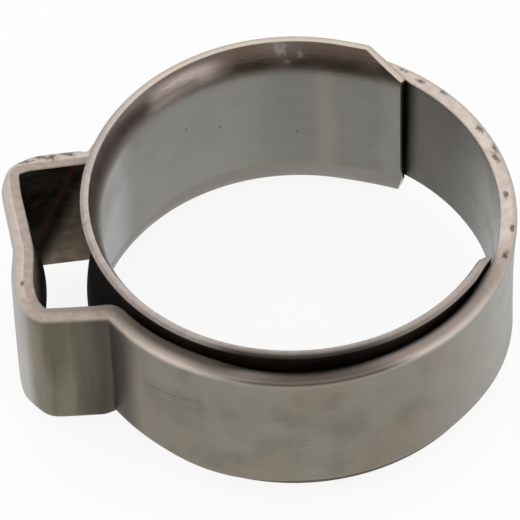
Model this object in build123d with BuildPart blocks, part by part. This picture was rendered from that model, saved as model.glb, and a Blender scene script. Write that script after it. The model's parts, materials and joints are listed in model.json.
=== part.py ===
from build123d import *
import math
import os

# Ear hose clamp for a 16 mm hose connection, in two pieces.
#
# The clamp band is a closed ring of flat steel strip with one crimping ear. The
# insert ring is an open ring of thin sheet that lies inside the band and carries
# the hose pressure past the gap under the ear. Its flared lips hold the band
# between them, and its two ends spring out against the band.
#
# Millimetres. +Z runs along the hose, the ear points towards -X, and the origin
# is the middle of the hose bore.

# Insert ring: wall
hose_radius = 8.0
insert_sheet = 0.38
# Insert ring: flared lips
lip_inset = 0.62  # the lips start to bend this far inside the band's edges
lip_rise = 1.8
lip_spread = 0.5
# Insert ring: open ends, as angles from +X
gap_from = -26.0
gap_to = 50.0
end_run = 20.0  # the last stretch before each end, which springs out
end_clearance = 0.02
top_cut_along = 1.7
top_cut_up = 1.1
bottom_cut_along = 0.5
bottom_cut_up = 0.9

# Clamp band
band_width = 6.1
band_sheet = 0.74
side_clearance = 0.28  # between insert and band, along X
front_clearance = 0.47  # between insert and band, along Y
band_shift_x = -0.07
band_shift_y = 0.13
band_drop = 0.15  # the band hangs this far below the middle of the insert
edge_break = 0.1

# Ear
ear_reach = 11.28  # from the bore axis to the inside of the crown
ear_gap = 7.5  # between the legs, at the crown
ear_splay = 3.5  # each leg leans out this far towards its root
ear_corner = 0.5
root_bend = 0.5
crown_dip = 0.35
crown_dip_middle = -0.3
crown_dip_half = 1.8
crown_dip_bend = 4.0

# The recess pressed into the middle of the crown
recess_depth = 0.62
recess_length = 5.6
recess_width = 5.2

insert_outer_radius = hose_radius + insert_sheet
insert_wall = band_width - 2 * lip_inset
lip_angle = 2 * math.degrees(math.atan2(lip_spread, lip_rise))
lip_radius = lip_rise / math.sin(math.radians(lip_angle))
lip_tip_z = insert_wall / 2 + lip_rise
lip_turn_at_band = math.asin((lip_inset + band_drop) / lip_radius)
lip_bulge_at_band = lip_radius * (1 - math.cos(lip_turn_at_band))
band_inner_x = insert_outer_radius + side_clearance
band_inner_y = insert_outer_radius + front_clearance


def direction(angle):
    """Unit vector in plan at an angle from +X."""
    return Vector(math.cos(math.radians(angle)), math.sin(math.radians(angle)))


def band_inner_reach(angle):
    """Distance from the bore axis to the band's inner wall at an angle."""
    u = direction(angle)
    a = (u.X / band_inner_x) ** 2 + (u.Y / band_inner_y) ** 2
    b = u.X * band_shift_x / band_inner_x**2 + u.Y * band_shift_y / band_inner_y**2
    c = (band_shift_x / band_inner_x) ** 2 + (band_shift_y / band_inner_y) ** 2 - 1
    return (b + math.sqrt(b * b - a * c)) / a


def radial_plane(center, angle):
    """Upright plane through center, with local x outwards and local y up."""
    u = direction(angle)
    return Plane(origin=center, x_dir=u, z_dir=Vector(u.Y, -u.X))


def insert_section(radius):
    """The insert's section at a radius: a straight wall between two flared lips."""
    half = insert_wall / 2
    with BuildSketch(mode=Mode.PRIVATE) as section:
        with BuildLine():
            wall_in = Line((radius, 0), (radius, half))
            wall_out = Line((radius + insert_sheet, 0), (radius + insert_sheet, half))
            lip_in = JernArc(wall_in @ 1, (0, 1), lip_radius, -lip_angle)
            lip_out = JernArc(wall_out @ 1, (0, 1), lip_radius - insert_sheet, -lip_angle)
            Line(lip_in @ 1, lip_out @ 1)
            mirror(about=Plane.XZ)
        make_face()
    return section.sketch


def end_stretch(junction, end):
    """Centre and swing of the arc that carries an end out to the band."""
    turn = math.radians(abs(end - junction))
    reach = band_inner_reach(end) - lip_bulge_at_band - end_clearance
    spare = insert_outer_radius - reach * math.cos(turn)
    shift = (reach**2 - insert_outer_radius**2) / (2 * spare)
    swing = math.degrees(math.atan2(reach * math.sin(turn), shift + reach * math.cos(turn)))
    return shift, math.copysign(swing, end - junction)


main_from = gap_to + end_run
main_sweep = 360 - (gap_to - gap_from) - 2 * end_run
ends = [(main_from, gap_to), (main_from + main_sweep, gap_from + 360)]

with BuildPart() as insert_ring:
    with BuildSketch(radial_plane((0, 0), main_from)):
        add(insert_section(hose_radius))
    revolve(axis=Axis.Z, revolution_arc=main_sweep)
    for junction, end in ends:
        shift, swing = end_stretch(junction, end)
        center = direction(junction) * -shift
        with BuildSketch(radial_plane(center, junction)):
            add(insert_section(hose_radius + shift))
        revolve(axis=Axis(center, (0, 0, 1)), revolution_arc=swing)
    # The corners of each end are cut off, with a longer cut at the top
    for end, inward in ((gap_to, 1), (gap_from, -1)):
        tangent = direction(end + 90 * inward)
        end_plane = Plane(origin=(0, 0), x_dir=tangent, z_dir=direction(end) * inward)
        for side, along, up in ((1, top_cut_along, top_cut_up), (-1, bottom_cut_along, bottom_cut_up)):
            with BuildSketch(end_plane):
                with BuildLine():
                    Polyline(
                        (-2 * along, side * (lip_tip_z + up)),
                        (-2 * along, side * (lip_tip_z - 3 * up)),
                        (2 * along, side * (lip_tip_z + up)),
                        close=True,
                    )
                make_face()
            extrude(amount=2 * hose_radius * inward, mode=Mode.SUBTRACT)
insert_ring.part.label = "insert_ring"


def ear_sketch(growth):
    """The ear's pocket in plan, or with growth the outside of the ear around it."""
    half = ear_gap / 2
    foot_x = -hose_radius / 2
    foot_y = half + (ear_reach + foot_x) * math.tan(math.radians(ear_splay))
    with BuildSketch(mode=Mode.PRIVATE) as ear:
        with BuildLine():
            Polyline(
                (foot_x, foot_y),
                (-ear_reach, half),
                (-ear_reach, crown_dip_middle + crown_dip_half),
                (crown_dip - ear_reach, crown_dip_middle),
                (-ear_reach, crown_dip_middle - crown_dip_half),
                (-ear_reach, -half),
                (foot_x, -foot_y),
                close=True,
            )
        make_face()
        by_x = ear.vertices().group_by(Axis.X)
        fillet(by_x[0].sort_by(Axis.Y)[1:-1] + by_x[1], crown_dip_bend)
        crown = ear.vertices().group_by(Axis.X)[0].sort_by(Axis.Y)
        fillet([crown[0], crown[-1]], ear_corner)
        if growth:
            offset(amount=growth)
    return ear.sketch


def strip_side(growth):
    """The band's inner outline with sharp ear roots, or with growth the outer one."""
    with BuildSketch(mode=Mode.PRIVATE) as side:
        with Locations((band_shift_x, band_shift_y)):
            Ellipse(band_inner_x + growth, band_inner_y + growth)
        add(ear_sketch(growth))
    return side.sketch


def recess_form(face_x):
    """The barrel-shaped form of the recess, pressed in from a face at face_x."""
    half = recess_length / 2
    barrel_radius = (recess_width**2 / 4 + recess_depth**2) / (2 * recess_depth)
    axis_x = face_x + recess_depth - barrel_radius
    with BuildPart(mode=Mode.PRIVATE) as form:
        with BuildSketch(Plane.XY.offset(-band_drop)):
            with BuildLine():
                Polyline((face_x, half), (axis_x, half), (axis_x, -half), (face_x, -half))
                ThreePointArc((face_x, -half), (face_x + recess_depth, 0), (face_x, half))
            make_face()
        revolve(axis=Axis((axis_x, 0, -band_drop), (0, 1, 0)))
    return form.part


with BuildPart() as clamp_band:
    with BuildSketch(Plane.XY.offset(-band_drop - band_width / 2)):
        add(strip_side(band_sheet))
        add(strip_side(0), mode=Mode.SUBTRACT)
    extrude(amount=band_width)
    upright = clamp_band.edges().filter_by(Axis.Z)
    inner_roots = upright.sort_by(Axis.X)[-4:-2]
    outer_roots = upright.sort_by(Axis.X)[-6:-4]
    fillet(outer_roots, root_bend)
    fillet(inner_roots, root_bend + band_sheet)
    chamfer(clamp_band.faces().filter_by(Axis.Z).edges(), edge_break)
    # The recess shows as a bulge on the inside of the crown
    with BuildPart(mode=Mode.PRIVATE) as bulge:
        add(recess_form(-ear_reach))
        with Locations((-ear_reach - band_sheet / 2, 0, -band_drop)):
            keep = (Align.MIN, Align.CENTER, Align.CENTER)
            Box(ear_reach, ear_gap, band_width, align=keep, mode=Mode.INTERSECT)
    add(bulge)
    add(recess_form(-ear_reach - band_sheet), mode=Mode.SUBTRACT)
clamp_band.part.label = "clamp_band"

os.makedirs("parts", exist_ok=True)
for piece in (clamp_band.part, insert_ring.part):
    export_step(piece, f"parts/{piece.label}.step")
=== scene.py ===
import json
import math

import bmesh
import bpy
import numpy as np
from mathutils import Matrix, Vector


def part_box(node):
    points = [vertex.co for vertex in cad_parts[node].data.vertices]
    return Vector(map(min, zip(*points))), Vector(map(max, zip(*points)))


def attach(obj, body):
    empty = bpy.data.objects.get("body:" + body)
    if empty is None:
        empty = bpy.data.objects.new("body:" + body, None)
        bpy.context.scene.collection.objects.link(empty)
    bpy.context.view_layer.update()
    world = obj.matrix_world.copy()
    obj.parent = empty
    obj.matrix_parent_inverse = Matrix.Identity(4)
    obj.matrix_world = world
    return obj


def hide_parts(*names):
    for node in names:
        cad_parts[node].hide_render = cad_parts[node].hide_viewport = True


# Looks of the ear hose clamp: a strip steel band with one crimping ear, around an
# open insert ring of thin sheet with flared lips. Sizes are in millimetres and
# turn into metres where a mesh, a lamp or the camera is made.

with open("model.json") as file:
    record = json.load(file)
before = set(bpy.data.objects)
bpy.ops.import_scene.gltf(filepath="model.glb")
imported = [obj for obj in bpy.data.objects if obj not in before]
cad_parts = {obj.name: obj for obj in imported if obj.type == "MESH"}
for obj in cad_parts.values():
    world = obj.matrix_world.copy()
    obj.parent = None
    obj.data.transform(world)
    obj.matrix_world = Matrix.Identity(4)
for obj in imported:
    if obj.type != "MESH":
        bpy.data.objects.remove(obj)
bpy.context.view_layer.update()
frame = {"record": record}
MM = 0.001
SHARP_EDGE = math.radians(50)

# ---------------------------------------------------------------- sizes
# A place is (x, y) or (x, y, z). A reach or a fade is how far a change takes to die out.
band_low, band_high = (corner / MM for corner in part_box("clamp_band"))
insert_low, insert_high = (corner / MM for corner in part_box("insert_ring"))

# Clamp band: the ring and its strip
BAND_SHEET = 0.74
BAND_SHIFT_X = -0.07
BAND_SHIFT_Y = (band_high.y + band_low.y) / 2
BAND_MID_X = band_high.x - BAND_SHIFT_X - BAND_SHEET / 2
BAND_MID_Y = (band_high.y - band_low.y) / 2 - BAND_SHEET / 2
BAND_MIDDLE_Z = (band_high.z + band_low.z) / 2
BAND_HALF_WIDTH = (band_high.z - band_low.z) / 2
BAND_ROWS = 44
OUTER_RIM = 0.28  # the outer rim is rolled over
INNER_RIM = 0.07
SIDE_BOW = 0.1  # the strip's middle lies this far inside its edges, opposite the ear
SIDE_BOW_FADE = 9.0
FRONT_FADE = 6.0
FRONT_GROWTH = 0.08  # the ring's inner side at the front
FRONT_BOTTOM_DROP = 0.07
FRONT_LEAN = 0.15  # the ring's upper edge leans in at the front
FRONT_LEAN_FROM = 6.0
FRONT_LEAN_FADE = 3.0
LEFT_GROWTH = 0.13  # more of the inner side next to the ear
LEFT_GROWTH_PLACE = (-5.4, -7.2)
LEFT_GROWTH_REACH = 4.0
BACK_TUCK = 0.18  # the ring is drawn in behind the ear
BACK_TUCK_PLACE = (-6.9, 6.5)
BACK_TUCK_REACH = 5.0
# Where the lower edge stands out, or in: place, reach and amount
LOWER_EDGE_FLARES = (((8.3, -4.6), 3.5, 0.09), ((9.3, -0.3), 3.0, -0.11), ((-4.2, -8.5), 3.6, 0.13))
END_DENT = 0.1  # the inner side gives way to the insert's front end
END_DENT_PLACE = (8.0, -3.4)
END_DENT_REACH = 1.9
END_REST_REACH = 3.2  # the wall behind that end has neither the growth nor the bow
END_REST_FADE = 1.6

# Clamp band: the ear
CROWN_MID_X = band_low.x + BAND_SHEET / 2
EAR_HALF_GAP = 3.75
EAR_SPLAY = math.radians(3.5)
EAR_FOOT_X = -7.85  # the ear's own small shapes fade in from here towards the crown
EAR_FADE = 0.9
EAR_BOTTOM_DROP = 0.16
EAR_FRONT_LEAN = 0.16
# The crown's middle line at the upper and at the lower edge, from back to front, as
# (off its flat, y), and how far off the flat its corners meet the back and the front leg
UPPER_CROWN = (
    (0.01, 3.86),
    (0.03, 2.6),
    (0.18, 1.1),
    (0.29, 0.0),
    (0.34, -0.5),
    (0.29, -1.17),
    (0.18, -2.2),
    (0.2, -2.9),
    (0.34, -3.6),
)
UPPER_LEGS = (0.28, 0.7)
LOWER_CROWN = ((0.0, 3.77), (0.0, 1.7), (0.0, -0.3), (0.0, -2.3), (0.08, -3.15))
LOWER_LEGS = (0.35, 0.85)
CROWN_FROM = 1.0  # the crown's own shapes fade in this far off its flat
CROWN_FADE = 0.6
CROWN_GROWTH = 0.06  # the crown's inner side
LEG_GROWTH = 0.18  # the back leg's outer side
LEG_GROWTH_FADE = 1.6
CORNER_THINNING = 0.22  # the strip is thinned over the crown's back corner
CORNER_THINNING_PLACE = (0.15, 3.95)  # off the crown's flat, and y
CORNER_THINNING_REACH = 1.1
CORNER_PRESS = 0.26  # the crown's back corner is pressed in below its upper edge
CORNER_PRESS_PLACE = (3.2, -0.3)  # y, and height above the band's middle
CORNER_PRESS_REACH = (2.2, 3.0)
SOFT_CORNERS_X = -9.0  # bends soften from the roots' to the crown's over 1 mm past here
CROWN_SOFTNESS = 0.25
ROOT_SOFTNESS = 0.18
RECESS_DEPTH = 0.62
RECESS_LENGTH = 5.6
RECESS_WIDTH = 5.2

# Clamp band: how finely its plan is drawn
RING_POINTS = 4001
PLAN_STEP = 0.02
PLAN_COUNTS = (200, 52, 56, 56, 52, 200)  # points between the ear's roots, corners and middle

# Insert ring: the wall and its lips
HOSE_RADIUS = frame["record"]["mounts"][0]["dims"]["r_mm"]
INSERT_WALL = frame["record"]["mounts"][0]["dims"]["length_mm"]
INSERT_SHEET = 0.38
INSERT_MID_RADIUS = HOSE_RADIUS + INSERT_SHEET / 2
INSERT_RIM = 0.07
INSERT_ROWS = 62
LIP_RISE = insert_high.z - INSERT_WALL / 2
LIP_SPREAD = 0.5
LIP_ANGLE = 2 * math.atan2(LIP_SPREAD, LIP_RISE)
LIP_RADIUS = LIP_RISE / math.sin(LIP_ANGLE) - INSERT_SHEET / 2
TIP_SHEAR = 0.07  # the lips' cut ends stand this much prouder outside than inside
BELLY = 0.48  # the insert's wall stands out into the ear's pocket
BELLY_MIDDLE_Z = -1.7
BELLY_REACH_Z = 3.9
BELLY_ANGLE = 178.0
BELLY_REACH_ANGLE = 45.0
BACK_LIP = 0.13  # the upper lip stands further out at the back
BACK_LOWER_LIP = -0.11  # and the lower one less far
BACK_LIP_ANGLE = 92.0
BACK_LIP_REACH = 75.0

# Insert ring: its two ends, at angles from +X
GAP_FROM = -25.0
GAP_TO = 50.0
END_RUN = 20.0  # each end springs out to the band over this last stretch
END_CLEARANCE = 0.1
END_LEAN = 0.08  # the front end leans this far into the band's dent
END_LEAN_ANGLE = 337.0
END_LEAN_REACH = 12.0
BACK_CUTS = ((1.7, 1.1), (0.3, 1.0))  # top and bottom: along the ring, and off the lip
FRONT_CUTS = ((2.1, 1.2), (0.3, 0.75))
FRONT_END_TAPER = 0.6  # the sheet thins out over this last stretch of the front end
FINE_STRETCH = 2.2  # the mesh is finer over this stretch at each end
FINE_STATIONS = 34
STATIONS = 330


# ---------------------------------------------------------------- mesh helpers
def ease(value):
    """0 below 0 and 1 above 1, with a soft change between them."""
    value = np.clip(value, 0, 1)
    return value * value * (3 - 2 * value)


def hump(value):
    """1 at 0, falling softly to 0 at -1 and at 1."""
    return np.cos(np.clip(value, -1, 1) * math.pi / 2) ** 2


def distance(x, y, place):
    """Distance in plan from a place."""
    return np.hypot(x - place[0], y - place[1])


def resample(points, count):
    """Points evenly spaced along an open line, without its last one."""
    run = np.concatenate([[0], np.cumsum(np.linalg.norm(np.diff(points, axis=0), axis=1))])
    wanted = np.linspace(0, run[-1], count, endpoint=False)
    return np.stack([np.interp(wanted, run, column) for column in points.T], axis=1)


def soften(points, width, step):
    """A closed outline with its corners rounded by a Gaussian of that width."""
    reach = int(4 * width / step)
    weights = np.exp(-0.5 * (np.arange(-reach, reach + 1) * step / width) ** 2)
    weights /= weights.sum()
    padded = np.vstack([points[-reach:], points, points[:reach]])
    return np.stack([np.convolve(column, weights, mode="valid") for column in padded.T], axis=1)


def section_side(half, rim, rows):
    """One side of a strip's section, from the middle of its lower edge to the upper one.

    Each point is (out, share, past). Its height is share * (half width - rim) + past.
    """
    turns = np.linspace(0, math.pi / 2, 6)
    flat = np.linspace(0, half - rim, 5)[1:-1]
    arc = half - rim + rim * np.sin(turns)
    lower = np.concatenate([flat, arc])
    past = np.concatenate([np.full(flat.shape, -rim), -rim * np.cos(turns)])
    lower = np.stack([lower, np.full(lower.shape, -1.0), past], axis=1)
    share = np.linspace(-1, 1, rows + 2)[1:-1]
    face = np.stack([np.full(share.shape, half), share, np.zeros(share.shape)], axis=1)
    return np.vstack([lower, face, lower[::-1] * (1, -1, -1)])


def section_loop(half, outer_rim, inner_rim, rows):
    """The whole section, up its outer side and down its inner one, and its cut-edge mask."""
    outer = section_side(half, outer_rim, rows)
    inner = section_side(half, inner_rim, rows)[::-1] * (-1, 1, 1)
    loop = np.vstack([outer, inner])
    rims = np.concatenate([np.full(len(outer), outer_rim), np.full(len(inner), inner_rim)])
    rise = np.abs(loop[:, 2]) / rims
    edge = np.where(loop[:, 0] > 0, ease((rise - 0.4) / 0.5), rise > 0.3)
    return loop, rims, edge


def sweep_mesh(name, rings, closed, readings):
    """A mesh of quads through rings of points, with capped ends unless it closes on itself."""
    stations, around, _ = rings.shape
    grid = np.arange(stations * around).reshape(stations, around)
    ahead = np.roll(grid, -1, axis=0) if closed else grid[1:]
    here = grid if closed else grid[:-1]
    quads = np.stack([here, ahead, np.roll(ahead, -1, axis=1), np.roll(here, -1, axis=1)], axis=-1)
    faces = quads.reshape(-1, 4).tolist()
    if not closed:
        for ring in (grid[0], grid[-1]):
            pairs = np.stack([ring, ring[::-1]], axis=1)[: around // 2]
            caps = np.concatenate([pairs[:-1], pairs[1:, ::-1]], axis=1)
            faces += caps.tolist()
    mesh = bpy.data.meshes.new(name)
    mesh.from_pydata((rings.reshape(-1, 3) * MM).tolist(), [], faces)
    for reading, values in readings.items():
        layer = mesh.attributes.new(reading, "FLOAT", "POINT")
        spread = np.broadcast_to(values, rings.shape[:2]).ravel()
        layer.data.foreach_set("value", spread.astype(np.float32))
    work = bmesh.new()
    work.from_mesh(mesh)
    bmesh.ops.recalc_face_normals(work, faces=work.faces)
    work.to_mesh(mesh)
    work.free()
    mesh.shade_smooth()
    mesh.set_sharp_from_angle(angle=SHARP_EDGE)
    piece = bpy.data.objects.new(name, mesh)
    bpy.context.scene.collection.objects.link(piece)
    return piece


# ---------------------------------------------------------------- clamp band
def leg_y(x):
    """Distance of a leg's middle line from the middle of the ear."""
    return EAR_HALF_GAP + BAND_SHEET / 2 + (x - CROWN_MID_X) * math.tan(EAR_SPLAY)


def band_plan(crown, legs):
    """The strip's middle line in plan, from the side opposite the ear round and back to it."""
    turns = np.linspace(0, 2 * math.pi, RING_POINTS)
    x = BAND_SHIFT_X + BAND_MID_X * np.cos(turns)
    y = BAND_SHIFT_Y + BAND_MID_Y * np.sin(turns)
    ring = np.stack([x, y], axis=1)
    outside = (x > 0) | (np.abs(y) > leg_y(x))
    back = ring[outside & (turns < math.pi)]
    front = ring[outside & (turns > math.pi)]
    on_crown = [(CROWN_MID_X + off, place) for off, place in crown]
    back_leg, front_leg = (CROWN_MID_X + off for off in legs)
    ear = [(back_leg, leg_y(back_leg)), *on_crown, (front_leg, -leg_y(front_leg))]
    sharp = np.vstack([back, ear, front[:-1]])

    closed = np.vstack([sharp, sharp[:1]])
    length = np.linalg.norm(np.diff(closed, axis=0), axis=1).sum()
    fine = resample(closed, int(length / PLAN_STEP))
    gentle = soften(fine, CROWN_SOFTNESS, PLAN_STEP)
    tight = soften(fine, ROOT_SOFTNESS, PLAN_STEP)
    line = tight + (gentle - tight) * ease(SOFT_CORNERS_X - fine[:, :1])

    # The same number of points from root to corner, and so on, keeps all outlines in step
    back_corner, front_corner = np.mean(ear[:2], axis=0), np.mean(ear[-2:], axis=0)
    anchors = [back[-1], back_corner, ear[len(ear) // 2], front_corner, front[0]]
    marks = [int(np.argmin(np.linalg.norm(line - anchor, axis=1))) for anchor in anchors]
    around = np.vstack([line, line[:1]])
    spans = zip([0] + marks, marks + [len(line)], PLAN_COUNTS)
    return np.vstack([resample(around[first : last + 1], count) for first, last, count in spans])


def outward(plan):
    """Unit vectors that point out of a closed line which runs anticlockwise."""
    ahead = np.roll(plan, -1, axis=0) - np.roll(plan, 1, axis=0)
    return np.stack([ahead[:, 1], -ahead[:, 0]], axis=1) / np.linalg.norm(ahead, axis=1)[:, None]


def recess(y, z):
    """How far the crown is pressed in at a place along and across it."""
    along = np.clip(1 - (2 * y / RECESS_LENGTH) ** 2, 0, None)
    across = np.clip(1 - (2 * z / RECESS_WIDTH) ** 2, 0, None)
    return RECESS_DEPTH * along * across


def make_band():
    upper = band_plan(UPPER_CROWN, UPPER_LEGS)
    lower = band_plan(LOWER_CROWN, LOWER_LEGS)
    section, rims, edge = section_loop(BAND_SHEET / 2, OUTER_RIM, INNER_RIM, BAND_ROWS)
    up = section[:, 1] * (BAND_HALF_WIDTH - rims) + section[:, 2]
    across = section[:, 0] / (BAND_SHEET / 2)
    height = ((up + BAND_HALF_WIDTH) / (2 * BAND_HALF_WIDTH))[None, :, None] ** 2
    plan = lower[:, None] + (upper - lower)[:, None] * height
    out = outward(lower)[:, None] + (outward(upper) - outward(lower))[:, None] * height
    out /= np.linalg.norm(out, axis=2, keepdims=True)

    x, y = plan[..., 0], plan[..., 1]
    in_ear = ease((EAR_FOOT_X - x) / EAR_FADE)
    in_crown = ease((CROWN_MID_X + CROWN_FROM - x) / CROWN_FADE)
    at_front = ease(-y / FRONT_FADE)
    high = np.clip(up / BAND_HALF_WIDTH, 0, 1)
    low = np.clip(-up / BAND_HALF_WIDTH, 0, 1)
    level = 1 - (up / BAND_HALF_WIDTH) ** 2
    rests = ease((END_REST_REACH - distance(x, y, END_DENT_PLACE)) / END_REST_FADE) * (across < 0)

    # The strip is thicker or thinner in places
    inner_growth = FRONT_GROWTH * at_front * (1 - in_ear) * (1 - rests * level)
    inner_growth += CROWN_GROWTH * in_crown
    inner_growth -= END_DENT * hump(distance(x, y, END_DENT_PLACE) / END_DENT_REACH)
    inner_growth += LEFT_GROWTH * hump(distance(x, y, LEFT_GROWTH_PLACE) / LEFT_GROWTH_REACH)
    corner = (CROWN_MID_X + CORNER_THINNING_PLACE[0], CORNER_THINNING_PLACE[1])
    outer_growth = LEG_GROWTH * in_ear * (y > 0) * ease((x - CROWN_MID_X) / LEG_GROWTH_FADE)
    outer_growth -= CORNER_THINNING * hump(distance(x, y, corner) / CORNER_THINNING_REACH)
    growth = np.where(across > 0, outer_growth, -inner_growth) * np.abs(across)

    # The whole strip stands in or out in places
    bow = SIDE_BOW * ease(x / SIDE_BOW_FADE) * level * (1 - rests)
    flare = sum(amount * hump(distance(x, y, place) / reach) for place, reach, amount in LOWER_EDGE_FLARES)
    tuck = BACK_TUCK * hump(distance(x, y, BACK_TUCK_PLACE) / BACK_TUCK_REACH)
    tuck += FRONT_LEAN * ease((-y - FRONT_LEAN_FROM) / FRONT_LEAN_FADE) * high**2
    flat = plan + out * (section[:, 0] + growth - bow + flare * low**2 - tuck)[..., None]
    rings = np.concatenate([flat, np.broadcast_to(up, x.shape)[..., None] + BAND_MIDDLE_Z], axis=2)

    # The crown's recess and pressed corner, and the ear's leaning and dropped lower edge
    faces_left = np.clip(-out[..., 0], 0, 1) ** 4
    rings[..., 0] += faces_left * in_crown * recess(rings[..., 1], up)
    press = hump((rings[..., 1] - CORNER_PRESS_PLACE[0]) / CORNER_PRESS_REACH[0])
    press = press * hump((up - CORNER_PRESS_PLACE[1]) / CORNER_PRESS_REACH[1])
    rings[..., 0] += CORNER_PRESS * in_crown * press
    rings[..., 1] -= EAR_FRONT_LEAN * in_ear * (y < 0) * low
    drop = EAR_BOTTOM_DROP * in_ear + FRONT_BOTTOM_DROP * (1 - in_ear) * at_front
    rings[..., 2] -= drop * low**2
    readings = {"edge": edge[None], "across": (across[None] + 1) / 2}
    return sweep_mesh("band", rings, closed=True, readings=readings)


# ---------------------------------------------------------------- insert ring
def band_reach(angle):
    """Distance from the bore axis to the band's inner wall at an angle in degrees."""
    turn = np.radians(angle)
    inner_x = BAND_MID_X - BAND_SHEET / 2
    inner_y = BAND_MID_Y - BAND_SHEET / 2
    reach = 1 / np.hypot(np.cos(turn) / inner_x, np.sin(turn) / inner_y)
    return reach + BAND_SHIFT_X * np.cos(turn) + BAND_SHIFT_Y * np.sin(turn)


def insert_radius(angle):
    """The insert's middle radius: round, and sprung out against the band near its ends."""
    past = np.maximum(GAP_TO + END_RUN - angle, angle - (GAP_FROM + 360 - END_RUN))
    lean = END_LEAN * hump((angle - END_LEAN_ANGLE) / END_LEAN_REACH)
    sprung = band_reach(angle) + lean - INSERT_SHEET / 2 - END_CLEARANCE
    return INSERT_MID_RADIUS + (sprung - INSERT_MID_RADIUS) * np.clip(past / END_RUN, 0, 1) ** 2


def insert_stations(length):
    """Places along the insert, closer together at its ends and closest round their rims."""
    rim = INSERT_RIM * (1 - np.cos(np.linspace(0, math.pi / 2, 5)[:-1]))
    fine = np.linspace(INSERT_RIM, FINE_STRETCH, FINE_STATIONS)[:-1]
    near_end = np.concatenate([rim, fine])
    middle = np.linspace(FINE_STRETCH, length - FINE_STRETCH, STATIONS)
    return np.concatenate([near_end, middle, length - near_end[::-1]])


def make_insert():
    length = math.radians(360 - GAP_TO + GAP_FROM) * INSERT_MID_RADIUS
    from_back = insert_stations(length)
    from_front = length - from_back
    angle = GAP_TO + np.degrees(from_back / INSERT_MID_RADIUS)
    to_end = np.minimum(from_back, from_front)
    inset = INSERT_RIM - np.sqrt(INSERT_RIM**2 - np.clip(INSERT_RIM - to_end, 0, None) ** 2)

    # How far the section runs up and down from its middle, less the cut corners
    section, rims, edge = section_loop(INSERT_SHEET / 2, INSERT_RIM, INSERT_RIM, INSERT_ROWS)
    across = section[:, 0] / (INSERT_SHEET / 2)
    reach = np.zeros((len(angle), len(section)))
    for to_cut, cuts in ((from_back, BACK_CUTS), (from_front, FRONT_CUTS)):
        for is_side, (along, up) in zip((section[:, 1] > 0, section[:, 1] <= 0), cuts):
            reach -= is_side * (up * np.clip(1 - to_cut / along, 0, 1))[:, None]
    reach += (INSERT_WALL / 2 + LIP_RADIUS * LIP_ANGLE - inset)[:, None]
    run = section[:, 1] * (reach - rims) + section[:, 2]
    tip_share = np.abs(run) / reach
    run += np.sign(run) * TIP_SHEAR * (across + 1) / 2 * tip_share**8

    # The section bends outwards past the wall
    slope = np.sign(run) * np.clip(np.abs(run) - INSERT_WALL / 2, 0, None) / LIP_RADIUS
    flare = LIP_RADIUS * (1 - np.cos(slope))
    up = np.clip(run, -INSERT_WALL / 2, INSERT_WALL / 2) + LIP_RADIUS * np.sin(slope)
    thick = section[:, 0] * (1 - inset / (INSERT_SHEET / 2))[:, None]
    taper = np.clip(1 - from_front / FRONT_END_TAPER, 0, 1)[:, None]
    thick = np.where(thick < 0, thick * (1 - taper), thick)
    height = np.clip(up - thick * np.sin(slope), insert_low.z, insert_high.z)

    belly = BELLY * hump((angle - BELLY_ANGLE) / BELLY_REACH_ANGLE)[:, None]
    belly = belly * hump((height - BELLY_MIDDLE_Z) / BELLY_REACH_Z)
    back = hump((angle - BACK_LIP_ANGLE) / BACK_LIP_REACH)[:, None]
    flare = flare + BACK_LIP * back * np.clip(slope / LIP_ANGLE, 0, 1) ** 2
    flare = flare + BACK_LOWER_LIP * back * np.clip(-slope / LIP_ANGLE, 0, 1)
    out = insert_radius(angle)[:, None] + flare + belly + thick * np.cos(slope)
    turn = np.radians(angle)[:, None]
    rings = np.stack([out * np.cos(turn), out * np.sin(turn), height], axis=2)
    readings = {
        "edge": edge[None],
        "across": (across[None] + 1) / 2,
        "angle": np.broadcast_to(angle[:, None], out.shape),
        "lip": slope / LIP_ANGLE,
    }
    return sweep_mesh("insert", rings, closed=False, readings=readings)


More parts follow.
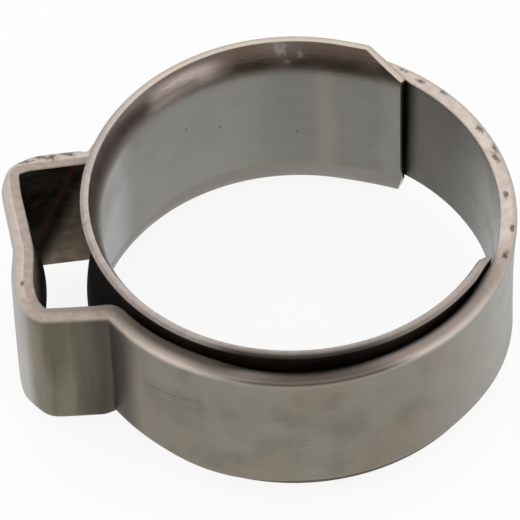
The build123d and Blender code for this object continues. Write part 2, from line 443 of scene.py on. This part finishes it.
# ---------------------------------------------------------------- materials
class Shading:
    """Short calls that build one material's nodes. Places and sizes are in millimetres."""

    def __init__(self, name):
        self.material = bpy.data.materials.new(name)
        self.material.use_nodes = True
        self.tree = self.material.node_tree
        self.shader = self.tree.nodes["Principled BSDF"]
        place = self.node("ShaderNodeTexCoord").outputs["Object"]
        scaled = self.node("ShaderNodeVectorMath", {0: place, 3: 1 / MM}, operation="SCALE")
        self.place = scaled.outputs[0]
        split = self.node("ShaderNodeSeparateXYZ", {0: self.place})
        self.x, self.y, self.z = split.outputs

    def put(self, socket, value):
        """Link a socket to a node's output, or set it to a plain value."""
        if isinstance(value, bpy.types.NodeSocket):
            self.tree.links.new(value, socket)
        else:
            socket.default_value = value

    def node(self, kind, inputs=None, **settings):
        made = self.tree.nodes.new(kind)
        for setting, value in settings.items():
            setattr(made, setting, value)
        for key, value in (inputs or {}).items():
            self.put(made.inputs[key], value)
        return made

    def math(self, operation, *values):
        return self.node("ShaderNodeMath", dict(enumerate(values)), operation=operation).outputs[0]

    def times(self, first, *others):
        """The product of masks and shares."""
        for other in others:
            first = self.math("MULTIPLY", first, other)
        return first

    def most(self, masks):
        """The greatest of some masks."""
        total = masks[0]
        for mask in masks[1:]:
            total = self.math("MAXIMUM", total, mask)
        return total

    def span(self, value, low, high, to=(0, 1)):
        """to[0] where value is at low, to[1] where it is at high, with a soft change between."""
        inputs = {"Value": value, "From Min": low, "From Max": high, "To Min": to[0], "To Max": to[1]}
        return self.node("ShaderNodeMapRange", inputs, interpolation_type="SMOOTHSTEP").outputs[0]

    def window(self, value, low, high, soft):
        """1 between low and high, and 0 outside them, with changes soft to either side."""
        rise = self.span(value, low - soft, low + soft)
        return self.times(rise, self.span(value, high - soft, high + soft, to=(1, 0)))

    def mix(self, share, first, second):
        made = self.node("ShaderNodeMix", data_type="RGBA")
        colors = [(*color, 1) if isinstance(color, tuple) else color for color in (first, second)]
        for key, value in ((0, share), (6, colors[0]), (7, colors[1])):
            self.put(made.inputs[key], value)
        return made.outputs[2]

    def paint(self, base, color, *masks):
        """A base colour with another over it, where the product of the masks is high."""
        return self.mix(self.times(*masks), base, color)

    def noise(self, scale, low=0.35, high=0.65, detail=3.0, shift=0.0, to=(0, 1)):
        """Noise within to, with scale as cycles to the millimetre, along x, y and z."""
        inputs = {0: self.place, 1: scale if isinstance(scale, tuple) else (scale,) * 3, 2: (shift,) * 3}
        place = self.node("ShaderNodeVectorMath", inputs, operation="MULTIPLY_ADD").outputs[0]
        texture = self.node("ShaderNodeTexNoise", {"Vector": place, "Scale": 1.0, "Detail": detail})
        return self.span(texture.outputs[0], low, high, to)

    def blob(self, place, size, turn=0.0, rough=0.0):
        """1 in the middle of an ellipsoid at a place, fading to 0 at its rim, uneven if rough."""
        inputs = {0: self.place, 1: place, 2: (0, 0, math.radians(turn)), 3: size}
        inside = self.node("ShaderNodeMapping", inputs, vector_type="TEXTURE").outputs[0]
        reach = self.node("ShaderNodeVectorMath", {0: inside}, operation="LENGTH").outputs["Value"]
        if rough:
            reach = self.math("ADD", reach, self.noise(5.0, 0.2, 0.8, shift=place[0], to=(0, rough)))
            reach = self.math("SUBTRACT", reach, rough / 2)
        return self.span(reach, 1.1, 0.1)

    def reading(self, name):
        """One of the values that a mesh holds for each of its points."""
        return self.node("ShaderNodeAttribute", attribute_name=name).outputs["Fac"]

    def grain_height(self, drawn, drawn_share, marks):
        """The height of a fine grain and of drawn lines, less that of marks."""
        fine = self.noise(9.0, 0.2, 0.8, detail=2.0, shift=1.0)
        height = self.math("ADD", self.times(fine, 0.2), self.times(drawn, drawn_share))
        return self.math("SUBTRACT", height, marks)

    def finish(self, color, roughness, height, depth):
        """Link the colour, the roughness and a bump of that many millimetres."""
        self.shader.inputs["Metallic"].default_value = 1.0
        self.shader.inputs["Specular Tint"].default_value = (0.85, 0.85, 0.85, 1)
        self.tree.links.new(color, self.shader.inputs["Base Color"])
        self.tree.links.new(roughness, self.shader.inputs["Roughness"])
        bump = self.node("ShaderNodeBump", {"Height": height, "Strength": 1.0, "Distance": depth * MM})
        self.tree.links.new(bump.outputs[0], self.shader.inputs["Normal"])
        return self.material


# The deep insides, the insert's outside and the front's cut edges are this rough, so that
# they mirror nothing sharply
DEEP_ROUGHNESS = 0.8

# Colours of the band. Two together are the ends that a mottle runs between.
BAND_FACE = ((0.20, 0.184, 0.148), (0.27, 0.247, 0.206))
BAND_WARM = (0.285, 0.235, 0.185)
BAND_COOL = (0.27, 0.27, 0.24)
BAND_GRAIN = (0.12, 0.11, 0.095)
# Painted reflection: the band's outside is lighter towards the right
BAND_RIGHT_REFLECTION = (0.43, 0.42, 0.39)
# Painted highlight on the crown's outer face
CROWN_HIGHLIGHT = (0.5, 0.49, 0.46)
SCRATCH = (0.06, 0.052, 0.042)
# Painted shade on the ear's legs, mottled by their upright streaks
LEG_STREAKS_AND_SHADE = ((0.13, 0.116, 0.085), (0.195, 0.178, 0.137))
# Painted shade in the legs' root bends
LEG_ROOT_SHADE = (0.045, 0.038, 0.032)
# Painted shade: the band's inner side, darker than its outside
BAND_INSIDE_SHADE = ((0.115, 0.108, 0.094), (0.15, 0.142, 0.126))
# Painted reflection on the inside towards the right front
BAND_INSIDE_RIGHT_REFLECTION = (0.34, 0.33, 0.3)
# Painted shade in the narrow gap between the band and the insert at the front
NARROW_GAP_SHADE = (0.03, 0.025, 0.02)
# Painted shadow of the insert's back end on the band's inside
SHADOW_BEHIND_END = (0.045, 0.04, 0.03)
# Painted shade inside the ear's pocket
POCKET_SHADE = ((0.022, 0.017, 0.012), (0.085, 0.07, 0.052))
# Painted highlight: a lit patch on the back leg in the pocket
POCKET_LIT_PATCH = (0.42, 0.35, 0.27)
POCKET_STREAK = (0.11, 0.05, 0.035)
BULGE = (0.36, 0.30, 0.235)
BAND_CUT = ((0.53, 0.45, 0.395), (0.6, 0.525, 0.47))
# Painted highlight on the cut edge towards the front
BAND_CUT_FRONT_HIGHLIGHT = (0.78, 0.695, 0.635)
# Painted shade: the front highlight is dimmer in its middle
BAND_CUT_MIDDLE_SHADE = (0.32, 0.27, 0.225)
# Painted reflection on the cut edge, to the left of the front
BAND_CUT_LEFT_REFLECTION = (0.4, 0.34, 0.295)
# Painted dark reflection on the cut edge's inner side, lighter to the left
BAND_CUT_INNER_REFLECTION = ((0.03, 0.023, 0.018), (0.33, 0.27, 0.225))
# Painted dark reflection: a thin line near the cut edge's outer rim
BAND_CUT_DARK_REFLECTION_LINE = (0.1, 0.08, 0.062)
BAND_MARKS = (0.12, 0.09, 0.075)

# Colours of the insert
WALL = ((0.235, 0.228, 0.205), (0.27, 0.262, 0.24))
WALL_GRAIN = (0.16, 0.155, 0.14)
WALL_STRIPE = (0.335, 0.3, 0.22)
WALL_BACK = (0.31, 0.3, 0.275)
WALL_END = (0.29, 0.28, 0.255)
# Painted reflection: a brighter upright zone on the wall's left
WALL_LEFT_REFLECTION = (0.42, 0.43, 0.41)
WALL_LOWER_LIP = (0.24, 0.225, 0.2)
WALL_PIT = (0.06, 0.05, 0.04)
# Painted dark reflection on the upper lip's inside
LIP_DARK_REFLECTION = ((0.12, 0.09, 0.073), (0.17, 0.135, 0.115))
# Painted reflection, lighter, on the upper lip's left
LIP_REFLECTION_LEFT = (0.26, 0.215, 0.2)
# Painted dark reflection, darker on the upper lip at the back right
LIP_REFLECTION_DARKER = (0.07, 0.048, 0.036)
# Painted pinkish reflection on the upper lip
LIP_PINK_REFLECTION = (0.72, 0.605, 0.56)
LIP_SPOT = (0.4, 0.37, 0.34)
# Painted shade: the insert's outside, near black, hidden in the gap and the pocket
INSERT_OUTSIDE_SHADE = ((0.008, 0.006, 0.005), (0.014, 0.011, 0.009))
LOWER_LIP_OUTSIDE = (0.24, 0.205, 0.165)
INSERT_CUT = ((0.46, 0.40, 0.365), (0.54, 0.485, 0.44))
# Painted highlight on the insert's cut edges at the back
INSERT_CUT_BACK_HIGHLIGHT = (0.66, 0.58, 0.49)
INSERT_CUT_RIGHT = (0.43, 0.375, 0.335)
INSERT_CUT_SHADE = (0.07, 0.055, 0.045)
BLACK = (0.0, 0.0, 0.0)

# Pits on the band's cut edge: place, and radius
EDGE_PITS = (
    ((5.61, 7.41, 2.9), 0.13),
    ((6.25, 6.67, 2.9), 0.12),
    ((7.16, 5.84, 2.9), 0.13),
    ((8.34, 3.64, 2.9), 0.17),
    ((8.84, 2.40, 2.9), 0.16),
    ((8.79, 1.91, 2.9), 0.17),
    ((8.88, -0.25, 2.9), 0.14),
    ((8.85, -2.08, 2.9), 0.13),
    ((8.33, -3.50, 2.9), 0.16),
    ((-11.51, -2.36, 2.9), 0.10),
)
# Scuffs on the back leg's cut edge: place, and half length and half width
LEG_SCUFFS = (
    ((-10.95, 4.36, 2.9), 0.55, 0.20),
    ((-10.25, 4.52, 2.9), 0.42, 0.17),
    ((-9.75, 4.44, 2.9), 0.30, 0.22),
    ((-9.10, 4.56, 2.9), 0.40, 0.16),
)
# Pale spots on the upper lip: place, size, and how uneven they are
LIP_SPOTS = (
    ((0.42, 8.3, 4.0), (0.35, 0.5, 0.55), 0.8),
    ((1.27, 8.2, 3.67), (0.16, 0.5, 0.22), 0.5),
    ((0.71, 8.2, 3.37), (0.2, 0.5, 0.14), 0.5),
)
WALL_PITS = ((-3.86, 7.01, 0.95), (-2.34, 7.65, 0.19), (1.04, 7.93, -0.88))
WALL_PIT_SIZE = (0.1, 0.3, 0.08)


def band_marks(s):
    """Pits and scuffs on the cut edges."""
    marks = []
    for place, radius in EDGE_PITS:
        along = math.degrees(math.atan2(place[1], place[0]))
        marks.append(s.blob(place, (radius, 2.2 * radius, 0.5), turn=along, rough=1.0))
    for place, half_length, half_width in LEG_SCUFFS:
        marks.append(s.blob(place, (half_length, half_width, 0.6), turn=-10.0, rough=1.3))
    return s.most(marks)


def band_faces(s, mottle, drawn):
    """Satin faces: warm and cool mottles on olive grey, with a painted reflection lighter on the right and
    a painted highlight on the crown.
    """
    warm = s.noise((0.5, 0.5, 0.25), 0.48, 0.62, detail=2.0, shift=11.0)
    cool = s.noise((0.35, 0.35, 0.2), 0.5, 0.64, detail=2.0, shift=23.0)
    crown = s.times(s.span(s.x, -11.0, -11.3), s.window(s.y, -3.7, 3.7, 0.4))
    crown = s.most([crown, s.span(s.x, -11.3, -11.75)])
    face = s.mix(mottle, *BAND_FACE)
    face = s.paint(face, BAND_WARM, warm, 0.55)
    face = s.paint(face, BAND_COOL, cool, 0.5)
    face = s.paint(face, BAND_GRAIN, drawn, 0.1)
    # Painted reflection, lighter towards the right
    face = s.paint(face, BAND_RIGHT_REFLECTION, s.span(s.x, 3.0, 9.2, to=(0, 0.85)))
    # Painted highlight on the crown
    face = s.paint(face, CROWN_HIGHLIGHT, crown, 0.9)

    # A fine scratch on the front starts next to the ear, and rises a little away from it
    along = s.math("MULTIPLY_ADD", s.x, 0.766, s.times(s.y, -0.643))
    level = s.math("MULTIPLY_ADD", along, -0.174, s.z)
    on_line = s.times(s.window(level, 0.79, 0.85, 0.03), s.window(along, -1.45, 1.5, 0.3))
    face = s.paint(face, SCRATCH, on_line, s.span(s.y, -5.0, -6.0), 0.45)

    # The ear's legs have painted shade over their upright streaks, and the darkest painted shade at their
    # roots
    streaks = s.noise((1.3, 1.3, 0.12), detail=2.0, shift=5.0)
    off_crown = s.math("SUBTRACT", 1.0, crown)
    face = s.paint(face, s.mix(streaks, *LEG_STREAKS_AND_SHADE), s.window(s.x, -11.1, -8.5, 0.3), off_crown, 0.95)
    # Painted shade at the legs' roots
    root = s.times(s.span(s.x, -10.0, -8.4, to=(0.0, 0.78)), s.span(s.x, -7.0, -7.8))
    return s.paint(face, LEG_ROOT_SHADE, root)


def band_inside(s, mottle, in_ear):
    """Insides with painted shade, darkest in the ear's pocket and in the narrow gap at the front, and
    lighter towards the right front with a painted reflection.
    """
    # Painted shade over the whole inside
    inner = s.mix(mottle, *BAND_INSIDE_SHADE)
    # Painted reflection, lighter towards the right front
    inner = s.paint(inner, BAND_INSIDE_RIGHT_REFLECTION, s.span(s.y, 5.0, -1.0))
    # Painted shade in the narrow gap at the front
    inner = s.paint(inner, NARROW_GAP_SHADE, s.span(s.y, -2.0, -6.0))
    # Painted shadow behind the insert's back end
    inner = s.paint(inner, SHADOW_BEHIND_END, s.blob((5.75, 6.75, 0.9), (0.75, 0.75, 5.0)))
    # Painted shade in the ear's pocket
    inner = s.paint(inner, s.mix(s.noise(1.3, 0.35, 0.75, shift=4.0), *POCKET_SHADE), in_ear)

    # The back leg has a painted highlight as a lit patch, and a reddish streak along the patch's slanting
    # border
    slant = s.math("SUBTRACT", s.x, s.times(s.z, 0.42))
    back_leg = s.times(in_ear, s.span(s.y, 2.0, 3.0))
    uneven = s.noise(1.6, 0.2, 0.7, shift=2.0, to=(0.45, 1))
    inner = s.paint(inner, POCKET_LIT_PATCH, back_leg, s.span(slant, -9.7, -8.7), uneven)
    inner = s.paint(inner, POCKET_STREAK, back_leg, s.window(slant, -10.15, -9.85, 0.15), 0.7)
    return s.paint(inner, BULGE, s.span(s.x, -10.7, -11.0), s.span(s.y, 0.8, -0.6))


def band_cut_edge(s, across, marks):
    """Pinkish beige cut edges, with a painted highlight towards the front, dimmer in its middle. At the
    front a painted dark brown reflection lies mostly on their inner side, with a painted dark line near
    the outer rim.
    """
    front = s.span(s.y, -8.1, -9.0)
    left = s.span(s.x, -2.5, -4.5)
    cut = s.mix(s.noise(3.2, 0.3, 0.7, shift=7.0), *BAND_CUT)
    # Painted highlight towards the front
    cut = s.paint(cut, BAND_CUT_FRONT_HIGHLIGHT, s.span(s.y, -4.5, -7.0))
    # Painted shade, dimming the highlight at the middle front
    cut = s.paint(cut, BAND_CUT_MIDDLE_SHADE, front, 0.95)
    # Painted reflection, dimmer where x is between -4.9 and -3
    cut = s.paint(cut, BAND_CUT_LEFT_REFLECTION, s.window(s.x, -4.9, -3.0, 0.8), 0.6)
    # Painted dark reflection on the inner side, from y = -2.5 forward
    inner = s.math("MULTIPLY_ADD", front, -0.12, across)
    inner = s.math("MULTIPLY_ADD", left, -0.22, inner)
    inner = s.times(s.span(s.y, -2.5, -5.5), s.span(inner, 0.34, 0.02))
    cut = s.paint(cut, s.mix(left, *BAND_CUT_INNER_REFLECTION), inner)
    # Painted dark reflection line near the outer rim at the middle front
    cut = s.paint(cut, BAND_CUT_DARK_REFLECTION_LINE, s.window(across, 0.78, 0.9, 0.05), front, 0.8)
    return s.paint(cut, BAND_MARKS, marks, 0.85)


def band_steel():
    s = Shading("band_steel")
    edge = s.reading("edge")
    across = s.reading("across")
    outside = s.span(across, 0.45, 0.55)
    in_ear = s.span(s.x, -7.5, -8.3)
    mottle = s.noise(0.55, detail=4.0)
    drawn = s.noise((0.7, 0.7, 7.0), shift=3.0)
    marks = band_marks(s)
    color = s.mix(outside, band_inside(s, mottle, in_ear), band_faces(s, mottle, drawn))
    color = s.mix(edge, color, band_cut_edge(s, across, marks))

    deep_inside = s.times(s.math("SUBTRACT", 1.0, outside), s.most([in_ear, s.span(s.y, -3.0, -7.0)]))
    deep = s.most([deep_inside, s.times(edge, s.span(s.y, -1.0, -4.0))])
    satin = s.span(mottle, 0.0, 1.0, to=(0.33, 0.43))
    roughness = s.most([satin, s.times(deep, DEEP_ROUGHNESS)])
    return s.finish(color, roughness, s.grain_height(drawn, 0.15, s.times(marks, edge)), 0.02)


def insert_wall(s, mottle, drawn, angle, wavy, lip):
    """The wall's inside: grey with fine lines round it, in zones by their angle from +X."""
    straighter = s.math("ADD", angle, s.noise(0.45, 0.2, 0.8, detail=1.0, shift=9.0, to=(-0.7, 0.7)))
    wall = s.mix(mottle, *WALL)
    wall = s.paint(wall, WALL_GRAIN, drawn, 0.16)
    wall = s.paint(wall, WALL_STRIPE, s.window(straighter, 70.5, 76.5, 2.2), 0.5)
    wall = s.paint(wall, s.mix(0.13, wall, BLACK), s.window(angle, 20.0, 92.0, 9.0))
    wall = s.paint(wall, WALL_BACK, s.window(angle, 98.0, 142.0, 8.0), 0.35)
    wall = s.paint(wall, WALL_END, s.span(wavy, 57.5, 53.5, to=(0, 0.35)))
    # Painted reflection at angles 147 to 175
    wall = s.paint(wall, WALL_LEFT_REFLECTION, s.window(angle, 147.0, 175.0, 7.0), 0.85)
    return s.paint(wall, WALL_LOWER_LIP, s.window(lip, -1.2, -0.25, 0.12))


def insert_lip_reflection(s, mottle, angle, wavy, lip):
    """The upper lip's inside: a painted dark brown reflection, lighter to the left and darker at the back
    right, with a painted pinkish reflection and pale spots.
    """
    # Painted dark brown reflection over the upper lip's inside
    lip_reflection = s.mix(mottle, *LIP_DARK_REFLECTION)
    # Painted reflection, lighter at angles 120 to 215
    lip_reflection = s.paint(lip_reflection, LIP_REFLECTION_LEFT, s.window(angle, 120.0, 215.0, 18.0), 0.6)
    # Painted dark reflection, darker at angles 60 to 84
    lip_reflection = s.paint(lip_reflection, LIP_REFLECTION_DARKER, s.window(angle, 60.0, 84.0, 6.0), 0.35)
    # Painted pinkish reflection at angles 107 to 129
    lip_reflection = s.paint(lip_reflection, LIP_PINK_REFLECTION, s.window(wavy, 107.0, 129.0, 6.0), s.window(lip, 0.4, 0.8, 0.14))
    spots = s.most([s.blob(place, size, rough=rough) for place, size, rough in LIP_SPOTS])
    return s.paint(lip_reflection, LIP_SPOT, spots, 0.45)


def insert_cut_edge(s, across):
    """Cut edges: a painted highlight at the back, and painted shade at the front and towards the outside.
    """
    cut = s.mix(s.noise(3.0, 0.3, 0.7, shift=7.0), *INSERT_CUT)
    # Painted highlight at the back
    cut = s.paint(cut, INSERT_CUT_BACK_HIGHLIGHT, s.span(s.y, 4.0, 7.0, to=(0, 0.8)))
    cut = s.paint(cut, INSERT_CUT_RIGHT, s.span(s.x, 2.5, 5.0), s.span(s.y, -4.5, -6.0))
    front = s.times(s.span(s.y, -1.0, -7.0), s.span(s.x, 6.0, 1.0))
    front = s.times(front, s.span(s.x, -5.2, -3.0, to=(0.3, 1)))
    return s.paint(cut, INSERT_CUT_SHADE, front, s.span(across, -0.3, 0.9))


def insert_steel():
    s = Shading("insert_steel")
    edge = s.reading("edge")
    across = s.reading("across")
    angle = s.reading("angle")
    lip = s.reading("lip")
    inside = s.span(across, 0.55, 0.45)
    mottle = s.noise(0.5, detail=4.0)
    drawn = s.noise((0.5, 0.5, 6.0), shift=3.0)
    wavy = s.math("ADD", angle, s.noise(0.45, 0.2, 0.8, detail=1.0, shift=9.0, to=(-2.5, 2.5)))
    wall = insert_wall(s, mottle, drawn, angle, wavy, lip)
    lip_reflection = insert_lip_reflection(s, mottle, angle, wavy, lip)
    face = s.mix(s.span(lip, 0.12, 0.42), wall, lip_reflection)
    # Painted shade, near black, on the insert's outside, except on its lower lip
    outer = s.paint(s.mix(mottle, *INSERT_OUTSIDE_SHADE), LOWER_LIP_OUTSIDE, s.span(lip, -0.35, -0.6))
    color = s.mix(inside, outer, face)
    color = s.mix(edge, color, insert_cut_edge(s, across))
    pits = s.most([s.blob(place, WALL_PIT_SIZE) for place in WALL_PITS])
    color = s.paint(color, WALL_PIT, pits, 0.7)

    satin = s.span(mottle, 0.0, 1.0, to=(0.3, 0.4))
    roughness = s.most([satin, s.span(inside, 1.0, 0.0, to=(0.0, DEEP_ROUGHNESS))])
    return s.finish(color, roughness, s.grain_height(drawn, 0.12, pits), 0.015)


band = make_band()
insert = make_insert()
band.data.materials.append(band_steel())
insert.data.materials.append(insert_steel())
for piece, node, slot in ((band, "clamp_band", "band_steel"), (insert, "insert_ring", "insert_steel")):
    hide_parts(node)
    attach(piece, "root")


# ---------------------------------------------------------------- floor, world, lamp and camera
FLOOR_HALF_SIZE = 1.5  # metres
FLOOR_GREY = 0.95
FLOOR_ROUGHNESS = 0.9
FLOOR_GLOW = 0.88  # how much of the floor's colour is plain white to the camera
KEY_PLACE = (60, 170, 210)
KEY_SIZE = 120
KEY_WATTS = 0.02
CAMERA_PLACE = (-10.71, -105.57, 124.13)
CAMERA_TARGET = (-1.234, 2.766, -3.2)
CAMERA_ROLL = math.radians(-2.02)
SENSOR_WIDTH = 36
PICTURE_PIXELS = 520
FOCAL_PIXELS = 3874
NEAREST_SEEN = 5


def background_share(tree, share):
    """A socket that is share for camera, mirror and glass rays, and 0 for the rest."""
    paths = tree.nodes.new("ShaderNodeLightPath")
    total = paths.outputs["Is Camera Ray"]
    for name in ("Is Glossy Ray", "Is Transmission Ray"):
        either = tree.nodes.new("ShaderNodeMath")
        either.operation = "MAXIMUM"
        tree.links.new(total, either.inputs[0])
        tree.links.new(paths.outputs[name], either.inputs[1])
        total = either.outputs[0]
    scaled = tree.nodes.new("ShaderNodeMath")
    scaled.operation = "MULTIPLY"
    scaled.inputs[1].default_value = share
    tree.links.new(total, scaled.inputs[0])
    return scaled.outputs[0]


def blend_shaders(tree, share, first, second):
    """A socket of two shaders, mixed by a share of the second."""
    blend = tree.nodes.new("ShaderNodeMixShader")
    tree.links.new(share, blend.inputs[0])
    tree.links.new(first.outputs[0], blend.inputs[1])
    tree.links.new(second.outputs[0], blend.inputs[2])
    return blend.outputs[0]


def make_floor():
    half = FLOOR_HALF_SIZE
    z = insert_low.z * MM
    corners = [(-half, -half, z), (half, -half, z), (half, half, z), (-half, half, z)]
    mesh = bpy.data.meshes.new("floor")
    mesh.from_pydata(corners, [], [(0, 1, 2, 3)])
    floor = bpy.data.objects.new("floor", mesh)
    bpy.context.scene.collection.objects.link(floor)
    material = bpy.data.materials.new("floor_white")
    material.use_nodes = True
    tree = material.node_tree
    matt = tree.nodes["Principled BSDF"]
    matt.inputs["Base Color"].default_value = (FLOOR_GREY, FLOOR_GREY, FLOOR_GREY, 1)
    matt.inputs["Roughness"].default_value = FLOOR_ROUGHNESS
    glow = tree.nodes.new("ShaderNodeEmission")
    surface = blend_shaders(tree, background_share(tree, FLOOR_GLOW), matt, glow)
    tree.links.new(surface, tree.nodes["Material Output"].inputs["Surface"])
    mesh.materials.append(material)


def make_world():
    world = bpy.data.worlds.new("studio")
    bpy.context.scene.world = world
    world.use_nodes = True
    tree = world.node_tree
    studio = tree.nodes["Background"]
    white = tree.nodes.new("ShaderNodeBackground")
    for background in (studio, white):
        background.inputs["Color"].default_value = (1, 1, 1, 1)
        background.inputs["Strength"].default_value = 1.0
    surface = blend_shaders(tree, background_share(tree, 1.0), studio, white)
    tree.links.new(surface, tree.nodes["World Output"].inputs["Surface"])


def make_lamp(name, place, size, watts):
    """A soft square lamp at a place, turned towards the middle of the clamp."""
    data = bpy.data.lights.new(name, "AREA")
    data.size = size * MM
    data.energy = watts
    lamp = bpy.data.objects.new(name, data)
    lamp.location = Vector(place) * MM
    lamp.rotation_euler = Vector(place).to_track_quat("Z", "Y").to_euler()
    bpy.context.scene.collection.objects.link(lamp)


def make_camera():
    position = Vector(CAMERA_PLACE) * MM
    target = Vector(CAMERA_TARGET) * MM
    back = (position - target).normalized()
    right = Vector((0, 0, 1)).cross(back).normalized()
    up = back.cross(right)
    data = bpy.data.cameras.new("camera")
    data.sensor_width = SENSOR_WIDTH
    data.lens = SENSOR_WIDTH * FOCAL_PIXELS / PICTURE_PIXELS
    data.clip_start = NEAREST_SEEN * MM
    camera = bpy.data.objects.new("camera", data)
    side = right * math.cos(CAMERA_ROLL) + up * math.sin(CAMERA_ROLL)
    over = up * math.cos(CAMERA_ROLL) - right * math.sin(CAMERA_ROLL)
    camera.matrix_world = Matrix((side, over, back)).transposed().to_4x4()
    camera.location = position
    bpy.context.scene.collection.objects.link(camera)
    bpy.context.scene.camera = camera


make_floor()
make_world()
make_lamp("key", KEY_PLACE, KEY_SIZE, KEY_WATTS)
make_camera()
bpy.context.scene.view_settings.view_transform = "Standard"
